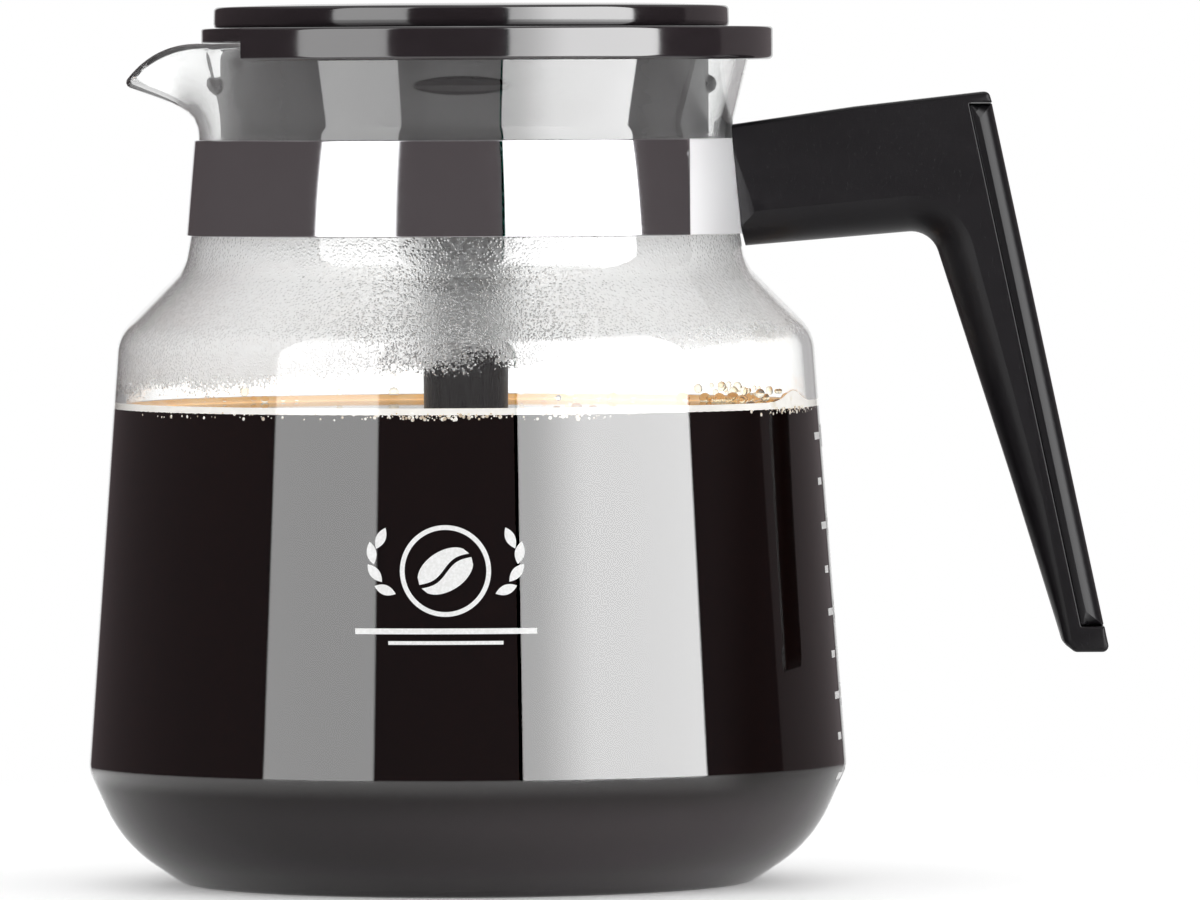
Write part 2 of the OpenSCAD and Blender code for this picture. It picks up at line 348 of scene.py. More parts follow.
def rounded(path, steps=8):
    """The path with each corner turned into an arc of its own radius."""
    points = []
    for before, here, after in zip([path[0], *path], path, [*path[1:], path[-1]]):
        at = Vector(here[:2])
        if here[2] == 0:
            points.append(at)
            continue
        back = (Vector(before[:2]) - at).normalized()
        on = (Vector(after[:2]) - at).normalized()
        half = back.angle(on) / 2
        centre = at + (back + on).normalized() * here[2] / math.sin(half)
        first = at + back * here[2] / math.tan(half) - centre
        last = at + on * here[2] / math.tan(half) - centre
        points += [centre + first.lerp(last, k / steps).normalized() * here[2]
                   for k in range(steps + 1)]
    return points


def dense(points, gap):
    """The same path with extra points, none further apart than the gap."""
    out = [points[0]]
    for p, q in zip(points, points[1:]):
        count = max(1, math.ceil((q - p).length / gap))
        out += [p.lerp(q, k / count) for k in range(1, count + 1)]
    return out


def radius_at(path, z):
    """Radius of a rising outline at a height."""
    for p, q in zip(path, path[1:]):
        if p.y <= z <= q.y and q.y > p.y:
            return p.x + (q.x - p.x) * (z - p.y) / (q.y - p.y)
    return path[-1].x


outside = dense(rounded(JUG_OUTSIDE), 2.5)

LIP_START_Z = 147.5
LIP_HALF_ANGLE = 27
LIP_CURVE = [Vector(p) for p in ((52.2, 147.5), (53.2, 151.4), (57.5, 151.9), (65.7, 154.6))]


def lip_path(s):
    """Underside of the lip in its middle, from the neck (0) to the tip (1): up, then out."""
    a, b, c, d = LIP_CURVE
    return a * (1 - s) ** 3 + b * 3 * s * (1 - s) ** 2 + c * 3 * s * s * (1 - s) + d * s ** 3


def jug_point(base, turn):
    """A point of the outside, with the lip drawn out of it; turn is in degrees from the lip."""
    r, z = base
    side = min(1.0, abs(turn) / LIP_HALF_ANGLE)
    if z > LIP_START_Z and side < 1:
        s = (z - LIP_START_Z) / (RIM_Z - RIM_ROLL - LIP_START_Z)
        soft = math.sqrt(side * side + 0.012) - 0.08
        pull = max(0.0, 1 - soft) ** 1.5 * (1 - side ** 6)
        drawn = lip_path(s)
        r += (drawn.x - r) * pull
        z += (drawn.y - z) * pull ** 1.9
    angle = math.radians(180 + turn)
    return Vector((r * math.cos(angle), r * math.sin(angle), z))


def glass_walls(columns=340, rim_steps=6):
    """Points of the outside, the rim and the inside, row by row."""
    turns = [360 * k / columns - 180 for k in range(columns)]
    outer = [[jug_point(base, turn) for turn in turns] for base in outside]
    rows = len(outer)
    inner = []
    for i in range(rows):
        row = []
        for k in range(columns):
            along = outer[i][(k + 1) % columns] - outer[i][k - 1]
            up = outer[min(i + 1, rows - 1)][k] - outer[max(i - 1, 0)][k]
            normal = along.cross(up)
            normal = normal.normalized() if normal.length > 1e-6 else Vector((0, 0, -1))
            row.append(outer[i][k] - normal * GLASS_T)
        inner.append(row)
    rim = []
    for j in range(1, rim_steps):
        swing = math.pi * j / rim_steps
        row = []
        for k in range(columns):
            middle = (outer[-1][k] + inner[-1][k]) / 2
            out = outer[-1][k] - middle
            up = (outer[-1][k] - outer[-2][k]).normalized()
            row.append(middle + out * math.cos(swing) + up * out.length * math.sin(swing))
        rim.append(row)
    return outer + rim + inner[::-1]


def clear_glass():
    """Clear glass with the faint waves of blowing, and a fire polish that mirrors the room."""
    f = Finish("clear_glass")
    x, _, z = f.xyz()
    waves = f.noise(28, 2, stretch=(1, 1, 0.5))
    rubbed = f.noise(3, 5, stretch=(1, 1, 6)).ramp(0.62, 0.8)
    return f.end(f.surface(Base_Color=(0.985, 0.99, 0.988, 1), Roughness=rubbed * 0.02,
                           IOR=1.474, Transmission_Weight=1.0, Normal=f.bump(waves, 0.03),
                           Coat_Weight=z.ramp(19, 23) * (1 - x.ramp(46, 56)), Coat_IOR=1.8,
                           Coat_Roughness=0.0))


PAD_Z = 155.6
PAD_TURNS = (0, 90, 180, 270)
PAD_HALF_SPAN = 9.6
PAD_T = 1.9
NECK_FOG = (140, 147)
# the mist ends in a ragged edge that rises towards the handle
MIST_LOW_Z = 93
MIST_EDGE_Z = 103
MIST_TILT = 0.085


def misted_glass():
    """The inside of the glass above the coffee: beads of steam below the band, thin fog in the neck; the
    fog's milk glows with painted light, laid on thicker towards both sides as painted light.
    """
    f = Finish("misted_glass")
    x, y, z = f.xyz()
    edge = MIST_EDGE_Z + x * MIST_TILT + (f.noise(7, 4) - 0.5) * 7
    below = z.ramp(98, 128)
    wet = (z - edge + (f.cells(0.6) - 0.35) * 4).ramp(-1.2, 1.0)
    beads = f.cells(0.38) * (1 - below) + f.cells(0.62) * below
    runny = wet * (1 - z.ramp(*NECK_FOG))
    # towards the left and right sides the beads are flatter and the glowing milk is thicker, a painted
    # lightening of the sides
    fine = x.math("ABSOLUTE").ramp(12, 44)
    normal = f.bump((1 - beads.ramp(0.05, 0.6)) * runny * (1 - fine * 0.55), 0.1)
    glass = f.surface(Base_Color=(0.985, 0.992, 0.988, 1), Roughness=runny * 0.34, IOR=1.474,
                      Transmission_Weight=1.0, Normal=normal)
    # the fog's white milk, given a painted glow: it emits light, though it is no lamp
    milk_and_painted_glow = f.surface(Base_Color=(0.93, 0.93, 0.94, 1), Roughness=0.9, Specular_IOR_Level=0.0,
                     Emission_Color=(1, 1, 1, 1), Emission_Strength=0.35)
    # the pads of the lid wipe the fog off where they touch
    touch = 1
    for turn in PAD_TURNS:
        c, s = math.cos(math.radians(turn)), math.sin(math.radians(turn))
        across = x * c + y * s
        aside = (y * c - x * s) / PAD_HALF_SPAN
        above = (z - PAD_Z) / PAD_T
        lens = aside * aside + above * above
        touch = touch * (1 - (1 - lens.ramp(0.75, 1.1)) * across.ramp(20, 22))
    fog = z.ramp(*NECK_FOG) * touch * (0.75 + f.noise(9, 3) * 0.5) * 0.07
    # the fine term adds painted light: more glowing milk towards both sides
    steam = runny * (f.noise(1.2, 3).ramp(0.42, 0.62) * 0.1 + 0.11 + fine * 0.2)
    mixed = f.add("ShaderNodeMixShader", s0=fog + steam, s1=glass, s2=milk_and_painted_glow)
    return f.end(mixed.outputs[0])


def make_jug():
    rows = glass_walls()
    points = [p for row in rows for p in row]
    jug = mesh_object("jug_glass", points, grid_faces(len(rows), len(rows[0])), sharp=60)
    jug.data.materials.append(clear_glass())
    jug.data.materials.append(misted_glass())
    for face in jug.data.polygons:
        middle = face.center / MM
        facing_in = face.normal.x * middle.x + face.normal.y * middle.y < 0
        if facing_in and middle.z > MIST_LOW_Z:
            face.material_index = 1
    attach(jug, "jug")
    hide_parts("glass_jug")


make_jug()

# ---------------------------------------------------------------------------
# The coffee.
# Black filter coffee to just above the tenth cup, clear amber where it climbs
# the glass in a thin edge, with froth along the waterline.
# ---------------------------------------------------------------------------

inside = [Vector((p.x, p.y)) for p in rounded([
    (0, GLASS_T, 0),
    (55.3, GLASS_T, 1.8),
    (66.0, 9.3, 24),
    (BELLY_R - GLASS_T - 0.05, 22.7, 3),
    (65.6, 106.5, 0),
])]
COFFEE_Z = 92.7
CLIMB = 1.25
SOAK = 0.12
SWELL_GAP = 21
SWELL = 2.2
SWELL_SPREAD = 4.5


def lathe(name, outline, start=0, turn=360, steps=256):
    """Turns a closed outline of (radius, height) round the axis; a part turn gets flat ends."""
    full = turn == 360
    columns = steps if full else steps + 1
    points = []
    for r, z in outline:
        for k in range(columns):
            angle = math.radians(start + turn * k / steps)
            points.append((r * math.cos(angle), r * math.sin(angle), z))
    faces = []
    rows = len(outline)
    for i in range(rows):
        j = (i + 1) % rows
        for k in range(steps):
            m = (k + 1) % columns
            faces.append((i * columns + k, i * columns + m, j * columns + m, j * columns + k))
    if not full:
        faces.append([i * columns for i in range(rows)])
        faces.append([i * columns + steps for i in range(rows)])
    return mesh_object(name, points, faces)


def coffee_finish():
    """Nearly black, with brown where the light gets a little way in, and painted light at the foot: lighter
    towards the bottom and towards the handle, a painted reflection of the pale table.
    """
    f = Finish("coffee")
    x, _, z = f.xyz()
    cloud = f.noise(30, 3, stretch=(1, 1, 0.25))
    deep = f.blend(cloud, (0.0032, 0.0012, 0.0012, 1), (0.0095, 0.0035, 0.0028, 1))
    # painted reflection: the foot is painted a lighter grey, lighter still towards the handle, standing for
    # the pale table mirrored in the base; it fades out between 14 and 24 mm up
    foot = f.blend(x.ramp(-40, 50), (0.0300, 0.0240, 0.0260, 1), (0.0760, 0.0620, 0.0660, 1))
    colour = f.blend(z.ramp(14, 24), foot, deep)
    return f.end(f.surface(Base_Color=colour, Roughness=0.4, Specular_IOR_Level=0.0,
                           Normal=f.bump(cloud, 0.01)))


def coffee_top_finish():
    """The open surface: a dark mirror, with an amber ring at the glass painted in for light that shines
    through the coffee's edge there.
    """
    f = Finish("coffee_top")
    oil = f.noise(12, 4)
    dark = f.blend(oil, (0.009, 0.004, 0.0025, 1), (0.016, 0.007, 0.004, 1))
    # painted light: an amber ring, 12 mm wide, where the surface meets the glass, standing for light
    # shining through the coffee
    colour = f.blend(f.away().ramp(54, 66), dark, (0.62, 0.3, 0.1, 1))
    return f.end(f.surface(Base_Color=colour, Roughness=0.02 + oil * 0.03, IOR=1.33,
                           Normal=f.bump(oil, 0.02)))


def make_coffee():
    wall = [p + Vector((SOAK, 0)) for p in inside[1:] if p.y < COFFEE_Z]
    wall = [Vector((0, GLASS_T - SOAK))] + [Vector((p.x, p.y - SOAK if p.y < 20 else p.y)) for p in wall]
    edge_r = radius_at(inside, COFFEE_Z) + SOAK
    side = [(p.x, p.y) for p in wall] + [(edge_r, COFFEE_Z)]
    outline = side + [(edge_r - 3, COFFEE_Z), (edge_r - 8, COFFEE_Z - 0.01), (0, COFFEE_Z - 0.01)]
    coffee = lathe("coffee", outline, steps=192)
    coffee.data.materials.append(coffee_finish())
    coffee.data.materials.append(coffee_top_finish())
    for face in coffee.data.polygons:
        if face.center.z > (COFFEE_Z - 0.1) * MM:
            face.material_index = 1
    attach(coffee, "jug")


def waterline_finish():
    """The thin wet edge: pale where it lies against the glass, amber on its hollow inner face; the pale
    colour is a painted highlight, and the whole edge glows with painted light.
    """
    f = Finish("wet_edge")
    outer = (f.away() - radius_at(inside, COFFEE_Z)).ramp(-SOAK, 0.0)
    streak = f.noise(5, 3, stretch=(1, 1, 0.2))
    amber = f.blend(streak, (0.98, 0.46, 0.12, 1), (0.96, 0.66, 0.34, 1))
    # painted highlight: the pale colour where the edge lies against the glass
    pale = f.blend(streak, (0.90, 0.86, 0.80, 1), (0.96, 0.95, 0.92, 1))
    colour = f.blend(outer, amber, pale)
    # painted light: the edge glows in its own colour, though it is no lamp
    return f.end(f.surface(Base_Color=colour, Roughness=0.12, IOR=1.33,
                           Emission_Color=colour, Emission_Strength=0.5))


def make_waterline():
    """A hollow ring that climbs the glass."""
    r = radius_at(inside, COFFEE_Z) + SOAK
    broad, under = 3.2, 0.05
    hollow = [(r - broad * (1 - k / 8), COFFEE_Z + CLIMB * (k / 8) ** 2.4) for k in range(9)]
    outline = hollow + [(r + 0.02, COFFEE_Z + CLIMB), (r, COFFEE_Z - under), (r - broad, COFFEE_Z - under)]
    line = lathe("coffee_edge", outline, steps=256)
    # it swells up where the thickest froth clings
    for vertex in line.data.vertices:
        gap = (math.degrees(math.atan2(vertex.co.y, vertex.co.x)) + SWELL_GAP + 180) % 360 - 180
        rise = max(0.0, (vertex.co.z / MM - COFFEE_Z) / CLIMB)
        vertex.co.z += SWELL * MM * rise * math.exp(-(gap / SWELL_SPREAD) ** 2)
    line.data.materials.append(waterline_finish())
    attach(line, "jug")


make_coffee()
make_waterline()


def named_input(tree, name, kind):
    return tree.interface.new_socket(name, in_out="INPUT", socket_type=kind)


def open_tree(name, base, floats, counts=()):
    """A new node tree: a base, named sizes, a finish and one result. Returns it with its inputs."""
    tree = bpy.data.node_groups.new(name, "GeometryNodeTree")
    tree.is_modifier = True
    named_input(tree, base, "NodeSocketGeometry")
    for label in floats:
        named_input(tree, label, "NodeSocketFloat")
    for label in counts:
        named_input(tree, label, "NodeSocketInt")
    named_input(tree, "Finish", "NodeSocketMaterial")
    tree.interface.new_socket("Result", in_out="OUTPUT", socket_type="NodeSocketGeometry")
    return tree, add_node(tree, "NodeGroupInput").outputs


def close_tree(tree, given, shape):
    """Ends a tree with its shape smooth, real and in the given finish."""
    smooth = add_node(tree, "GeometryNodeSetShadeSmooth", Geometry=shape)
    real = add_node(tree, "GeometryNodeRealizeInstances", Geometry=smooth.outputs[0])
    done = add_node(tree, "GeometryNodeSetMaterial", Geometry=real.outputs[0], Material=given["Finish"])
    out = add_node(tree, "NodeGroupOutput")
    tree.links.new(done.outputs[0], out.inputs[0])
    return tree


def point_value(tree, name):
    """What the base's points carry under a name."""
    carried = add_node(tree, "GeometryNodeInputNamedAttribute", {"data_type": "FLOAT"}, Name=name)
    return Value(tree, carried.outputs["Attribute"])


def scatter_tree():
    """Scatters small round beads over a surface, more where its 'crowd' value is high."""
    tree, given = open_tree("scatter_beads", "Surface",
                            ("Beads per square metre", "Smallest", "Largest", "Flatness"),
                            ("Roundness", "Seed"))
    density = point_value(tree, "crowd") * Value(tree, given["Beads per square metre"])
    spots = add_node(tree, "GeometryNodeDistributePointsOnFaces", {"distribute_method": "RANDOM"},
                     Mesh=given["Surface"], Density=density, Seed=given["Seed"])
    bead = add_node(tree, "GeometryNodeMeshIcoSphere", Radius=0.5, Subdivisions=given["Roundness"])
    chance = add_node(tree, "FunctionNodeRandomValue", {"data_type": "FLOAT"}, Seed=given["Seed"])
    spread = Value(tree, chance.outputs[1])
    smallest = Value(tree, given["Smallest"])
    size = smallest + (Value(tree, given["Largest"]) - smallest) * spread * spread
    scale = add_node(tree, "ShaderNodeCombineXYZ", X=size, Y=size, Z=size * Value(tree, given["Flatness"]))
    placed = add_node(tree, "GeometryNodeInstanceOnPoints", Points=spots.outputs["Points"],
                      Instance=bead.outputs["Mesh"], Rotation=spots.outputs["Rotation"],
                      Scale=scale.outputs[0])
    return close_tree(tree, given, placed.outputs[0])


SCATTER = scatter_tree()


def grow(name, base, tree, **inputs):
    """Runs a node tree on the base and keeps the result as a plain mesh; the base is removed."""
    modifier = base.modifiers.new("grow", "NODES")
    modifier.node_group = tree
    keys = {item.name: item.identifier for item in tree.interface.items_tree
            if item.in_out == "INPUT"}
    for label, value in inputs.items():
        modifier[keys[label.replace("_", " ")]] = value
    graph = bpy.context.evaluated_depsgraph_get()
    mesh = bpy.data.meshes.new_from_object(base.evaluated_get(graph))
    base.modifiers.remove(modifier)
    bpy.data.objects.remove(base)
    mesh.name = name
    while mesh.materials and mesh.materials[0] is None:
        mesh.materials.pop(index=0)
    return put(name, mesh)


def base_object(points, edges=(), faces=(), **values):
    """What a tree starts from: points in metres, with the named values that they carry."""
    mesh = bpy.data.meshes.new("base")
    mesh.from_pydata(points, edges, faces)
    for name, numbers in values.items():
        mesh.attributes.new(name, "FLOAT", "POINT").data.foreach_set("value", numbers)
    return put("base", mesh)


def crowd_strip(outline, crowd, columns=240):
    """An open strip turned round the axis, with how thickly beads gather at each of its points."""
    points = []
    weights = []
    for r, z in outline:
        for k in range(columns):
            angle = 2 * math.pi * k / columns
            points.append((r * MM * math.cos(angle), r * MM * math.sin(angle), z * MM))
            weights.append(crowd(math.degrees(angle), z))
    faces = [face[::-1] for face in grid_faces(len(outline), columns)]
    return base_object(points, faces=faces, crowd=weights)


def froth_finish():
    """Coffee bubbles: thin clear skins, a little amber."""
    f = Finish("froth")
    tint = f.blend(f.noise(3, 2), (0.97, 0.84, 0.6, 1), (0.99, 0.97, 0.92, 1))
    return f.end(f.surface(Base_Color=tint, Roughness=0.03, IOR=1.25, Transmission_Weight=1.0,
                           Normal=f.bump(f.noise(0.6, 2), 0.02)))


def foam_finish():
    """Fine foam against the glass: pale beads, each a slightly different cream, that glow with painted
    light.
    """
    f = Finish("fine_foam")
    cream = f.blend(f.noise(0.9, 2).ramp(0.35, 0.65), (0.55, 0.45, 0.33, 1), (0.97, 0.95, 0.9, 1))
    # painted glints: the beads glow in their own cream, though they are no lamp
    return f.end(f.surface(Base_Color=cream, Roughness=0.15, Emission_Color=cream,
                           Emission_Strength=0.55, Normal=f.bump(f.noise(0.4, 2), 0.02)))


# how the froth gathers round the waterline: middle and width in degrees, and how thick it is
FOAM_DRIFTS = [(266, 11, 1.0), (289, 5, 0.8), (338, 9, 1.0), (233, 12, 0.22), (215, 8, 0.16),
               (36, 14, 0.8), (150, 20, 0.3)]
BUBBLE_DRIFTS = [(338, 8, 1.0), (288, 3, 0.5), (36, 12, 1.0), (70, 9, 0.25), (120, 20, 0.1)]


def crowd_of(drifts):
    """How thickly beads gather at a turn, whatever the height."""
    def crowd(turn, _):
        total = 0.0
        for middle, width, amount in drifts:
            gap = (turn - middle + 180) % 360 - 180
            total += amount * max(0.0, math.exp(-(gap / width) ** 2) - 0.05)
        return total
    return crowd


def make_froth():
    r = radius_at(inside, COFFEE_Z)
    foam_strip = [(r + 0.1, COFFEE_Z - 1.0), (r + 0.05, COFFEE_Z + 0.3)]
    bubble_strip = [(r - 4.2, COFFEE_Z + 0.5), (r - 0.6, COFFEE_Z + 0.8), (r - 0.9, COFFEE_Z + 3.4)]
    for name, outline, drifts, count, smallest, largest, seed, finish in (
            ("fine_foam", foam_strip, FOAM_DRIFTS, 4.0e6, 0.28, 0.85, 4, foam_finish()),
            ("coffee_bubbles", bubble_strip, BUBBLE_DRIFTS, 4.2e5, 0.9, 3.0, 9, froth_finish())):
        base = crowd_strip(outline, crowd_of(drifts))
        froth = grow(name, base, SCATTER, Beads_per_square_metre=count, Smallest=smallest * MM,
                     Largest=largest * MM, Flatness=0.85, Roundness=2, Seed=seed, Finish=finish)
        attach(froth, "jug")


make_froth()

# ---------------------------------------------------------------------------
# Steam on the glass.
# Loose drops on the inside of the glass below the band, closer together
# towards the top. The fine beads between them are in the glass's own finish.
# ---------------------------------------------------------------------------


def drops_finish():
    f = Finish("water_drops")
    return f.end(f.surface(Base_Color=(0.99, 0.99, 0.99, 1), Roughness=0.0, IOR=1.33,
                           Transmission_Weight=1.0, Normal=f.bump(f.noise(0.5, 2), 0.01)))


DROPS_LOW_Z, DROPS_TOP_Z = 98, 126


def drops_crowd(turn, z):
    edge = MIST_EDGE_Z + 1 + radius_at(inside, z) * math.cos(math.radians(turn)) * MIST_TILT
    return 0.0 if z < edge else 0.25 + 0.75 * (z - DROPS_LOW_Z) / (DROPS_TOP_Z - DROPS_LOW_Z)


def make_drops():
    wall = [(radius_at(outside, z) - GLASS_T - 0.1, z) for z in range(DROPS_LOW_Z, DROPS_TOP_Z + 1, 2)]
    base = crowd_strip(wall, drops_crowd)
    drops = grow("steam_drops", base, SCATTER, Beads_per_square_metre=9.0e3, Smallest=0.3 * MM,
                 Largest=0.9 * MM, Flatness=0.3, Roundness=2, Seed=21, Finish=drops_finish())
    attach(drops, "jug")


make_drops()

# ---------------------------------------------------------------------------
# White print on the outside: a cup scale under the handle and an emblem in front.
# Fired enamel, a few hundredths of a millimetre thick.
# ---------------------------------------------------------------------------

PRINT_T = 0.06


def enamel_finish():
    f = Finish("white_enamel")
    speck = f.noise(0.5, 4)
    colour = f.blend(speck.ramp(0.35, 0.7), (0.8, 0.8, 0.79, 1), (0.9, 0.9, 0.9, 1))
    return f.end(f.surface(Base_Color=colour, Roughness=0.35 + speck * 0.2, Coat_Weight=0.4,
                           Normal=f.bump(speck, 0.01)))


ENAMEL = enamel_finish()


def wrap(flat, facing):
    """Lays flat artwork, x to the right and y up in millimetres, on the glass, facing an azimuth."""
    for vertex in flat.data.vertices:
        x, y, depth = vertex.co
        r = radius_at(outside, y)
        angle = math.radians(facing) + x / r
        lift = r + (PRINT_T if depth > 0 else -0.02)
        vertex.co = (lift * math.cos(angle) * MM, lift * math.sin(angle) * MM, y * MM)


def artwork(name, strips):
    """Thin flat plates, each drawn between two lines of points that run side by side."""
    points = []
    faces = []
    for first, second in strips:
        start, count = len(points), len(first)
        for depth in (0, 1):
            for line in (first, second):
                points += [(x, y, depth) for x, y in line]
        for k in range(count - 1):
            a, b, c, d = (start + k + lift * count for lift in range(4))
            faces += [(c, c + 1, d + 1, d), (a + 1, a, b, b + 1),
                      (a, a + 1, c + 1, c), (b + 1, b, d, d + 1)]
        if first[0] != first[-1]:
            for k in (0, count - 1):
                faces.append([start + k + lift * count for lift in (0, 1, 3, 2)])
    mesh = bpy.data.meshes.new(name)
    mesh.from_pydata(points, [], faces)
    mesh.materials.append(ENAMEL)
    return put(name, mesh)


def bar(x0, x1, y, height):
    """A level bar with points along it, so that it can bend round the glass."""
    xs = [x0 + (x1 - x0) * k / 12 for k in range(13)]
    return [(x, y) for x in xs], [(x, y + height) for x in xs]


def turned_flat(points, centre, tilt):
    """Flat points turned by the tilt and moved to the centre."""
    c, s = math.cos(math.radians(tilt)), math.sin(math.radians(tilt))
    return [(centre[0] + u * c - v * s, centre[1] + u * s + v * c) for u, v in points]


def ring(centre, radius, line):
    turns = [2 * math.pi * (k % 72) / 72 for k in range(73)]
    return tuple([(centre[0] + r * math.cos(a), centre[1] + r * math.sin(a)) for a in turns]
                 for r in (radius, radius - line))


def leaf(centre, tilt, length, width):
    ends = [k / 10 * 2 - 1 for k in range(11)]
    return tuple(turned_flat([(u * length / 2, side * width / 2 * (1 - u * u)) for u in ends], centre, tilt)
                 for side in (1, -1))


def emblem():
    """A coffee bean in a ring between two sprigs, over two rules: a plain sign that belongs to nobody."""
    centre = (-3.4, 63.2)
    strips = [ring(centre, 8.7, 0.9)]
    ends = [k / 24 * 2 - 1 for k in range(25)]
    for side in (1, -1):
        back = [(5.6 * u, side * (0.4 + 3.4 * math.sqrt(1 - u * u))) for u in ends]
        seam = [(5.6 * u, side * 0.4 + 0.7 * math.sin(math.pi * u)) for u in ends]
        strips.append((turned_flat(back, centre, 32), turned_flat(seam, centre, 32)))
    for side in (1, -1):
        for along, rise, tilt in ((11.6, -3.6, 20), (13.6, -0.4, 50), (14.2, 3.4, 80), (12.4, 6.2, 115)):
            at = (centre[0] + side * along, centre[1] + rise)
            strips.append(leaf(at, tilt if side > 0 else 180 - tilt, 4.4, 1.9))
    strips.append(bar(centre[0] - 17.5, centre[0] + 17.5, centre[1] - 12.0, 1.1))
    strips.append(bar(centre[0] - 11, centre[0] + 11, centre[1] - 14.0, 0.7))
    return artwork("emblem", strips)


CUP_MM3 = 125000.0
CUPS = 10


def cup_heights(cups):
    """Heights at which the jug holds each number of cups."""
    heights = []
    held = 0.0
    z, step = GLASS_T, 0.1
    bottom_z, bottom_r = 2.6, 55
    while len(heights) < cups:
        r = radius_at(inside, z + step / 2) if z > bottom_z else bottom_r
        held += math.pi * r * r * step
        z += step
        if held >= CUP_MM3 * (len(heights) + 1):
            heights.append(z)
    return heights


def numerals(marks):
    """Scale numbers as thin flat meshes, level with their marks."""
    size, left, down = 6.4, -7.6, 2.3
    pieces = []
    for number, y in marks:
        curve = bpy.data.curves.new("numeral", "FONT")
        curve.body = str(number)
        curve.size = size
        curve.resolution_u = 4
        text = put("numeral", curve)
        graph = bpy.context.evaluated_depsgraph_get()
        mesh = bpy.data.meshes.new_from_object(text.evaluated_get(graph))
        bpy.data.objects.remove(text)
        work = bmesh.new()
        work.from_mesh(mesh)
        bmesh.ops.remove_doubles(work, verts=work.verts, dist=1e-4)
        grown = bmesh.ops.extrude_face_region(work, geom=work.faces[:])
        for item in grown["geom"]:
            if isinstance(item, bmesh.types.BMVert):
                item.co.z += 1
        bmesh.ops.translate(work, verts=work.verts, vec=(left, y - down, 0))
        work.to_mesh(mesh)
        work.free()
        pieces.append(put("numeral", mesh))
    return pieces


def merged(pieces):
    """Puts several meshes into the first one's object."""
    first = pieces[0]
    work = bmesh.new()
    for piece in pieces:
        work.from_mesh(piece.data)
    work.to_mesh(first.data)
    work.free()
    for piece in pieces[1:]:
        bpy.data.objects.remove(piece)
    return first


def ticks_tree():
    """Repeats a level bar at each point, as long as the point's 'reach', cut finely enough to bend."""
    tree, given = open_tree("scale_ticks", "Marks", ("Height",))
    size = add_node(tree, "ShaderNodeCombineXYZ", X=1.0, Y=given["Height"], Z=1.0)
    tick = add_node(tree, "GeometryNodeMeshCube", Size=size.outputs[0], Vertices_X=13)
    scale = add_node(tree, "ShaderNodeCombineXYZ", X=point_value(tree, "reach"), Y=1.0, Z=1.0)
    placed = add_node(tree, "GeometryNodeInstanceOnPoints", Points=given["Marks"],
                      Instance=tick.outputs["Mesh"], Scale=scale.outputs[0])
    return close_tree(tree, given, placed.outputs[0])


def cup_scale():
    """Ticks down both sides, longer for the even cups, whose numbers stand between them."""
    side, long, short, thick = 14.5, 5.6, 3.4, 1.4
    heights = cup_heights(CUPS)
    marks = []
    lengths = []
    for cup in range(2, CUPS + 1):
        reach = long if cup % 2 == 0 else short
        marks += [(reach / 2 - side, heights[cup - 1], 0.5), (side - reach / 2, heights[cup - 1], 0.5)]
        lengths += [reach, reach]
    scale = grow("cup_scale", base_object(marks, reach=lengths), ticks_tree(), Height=thick, Finish=ENAMEL)
    return merged([scale, *numerals([(cup, heights[cup - 1]) for cup in range(2, CUPS + 1, 2)])])


def make_print():
    for piece, facing in ((emblem(), -90), (cup_scale(), 0)):
        wrap(piece, facing)
        work = bmesh.new()
        work.from_mesh(piece.data)
        bmesh.ops.recalc_face_normals(work, faces=work.faces)
        work.to_mesh(piece.data)
        work.free()
        piece.data.shade_flat()
        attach(piece, "jug")


make_print()

# ---------------------------------------------------------------------------
# The neck band and its clamp.
# A strip of polished stainless steel bent round the neck on a soft liner, its
# ends folded out into the handle, where a screw pulls them tight.
# ---------------------------------------------------------------------------

LUG_HALF_GAP = 4.2
LUG_REACH = 63.0
LUG_BEND = 1.4
BAND_T = 0.5
LINER_T = 0.3
# x from which the band is satin ground, and also painted lighter as a painted sheen
SATIN_AND_PAINTED_SHEEN_X = (43.5, 43.9)


def polished_steel():
    """Mirror polish with faint drawn lines, ground to a satin where the ends turn out; there its colour is
    also painted lighter, a painted sheen.
    """
    f = Finish("polished_steel")
    satin = f.xyz()[0].ramp(*SATIN_AND_PAINTED_SHEEN_X)
    polish = f.noise(2.5, 4, stretch=(0.25, 0.25, 6))
    smear = f.noise(14, 3)
    colour = f.blend(smear, (0.64, 0.63, 0.65, 1), (0.71, 0.70, 0.72, 1))
    # painted sheen: towards the handle the colour is lifted to near white, a painted highlight; the real
    # satin grind is only the roughness below
    colour = f.blend(satin, colour, (0.9, 0.9, 0.91, 1))
    return f.end(f.surface(Base_Color=colour, Metallic=0.95, Roughness=0.035 + polish * 0.05 + satin * 0.5,
                           Normal=f.bump(polish, 0.002)))


def band_route(radius):
    """Plan of the band: in along one folded end, round the neck and out along the other."""
    start = math.asin((LUG_HALF_GAP + LUG_BEND) / radius)
    corner = radius * math.cos(start) + LUG_BEND + 0.6
    route = [(LUG_REACH, LUG_HALF_GAP), (corner, LUG_HALF_GAP)]
    route += [(corner - LUG_BEND * math.sin(a), LUG_HALF_GAP + LUG_BEND * (1 - math.cos(a)))
              for a in (math.radians(d) for d in (22, 45, 68))]
    arc = [start + (2 * math.pi - 2 * start) * k / 200 for k in range(201)]
    route += [(radius * math.cos(a), radius * math.sin(a)) for a in arc]
    return route + [(x, -y) for x, y in route[:5]][::-1]


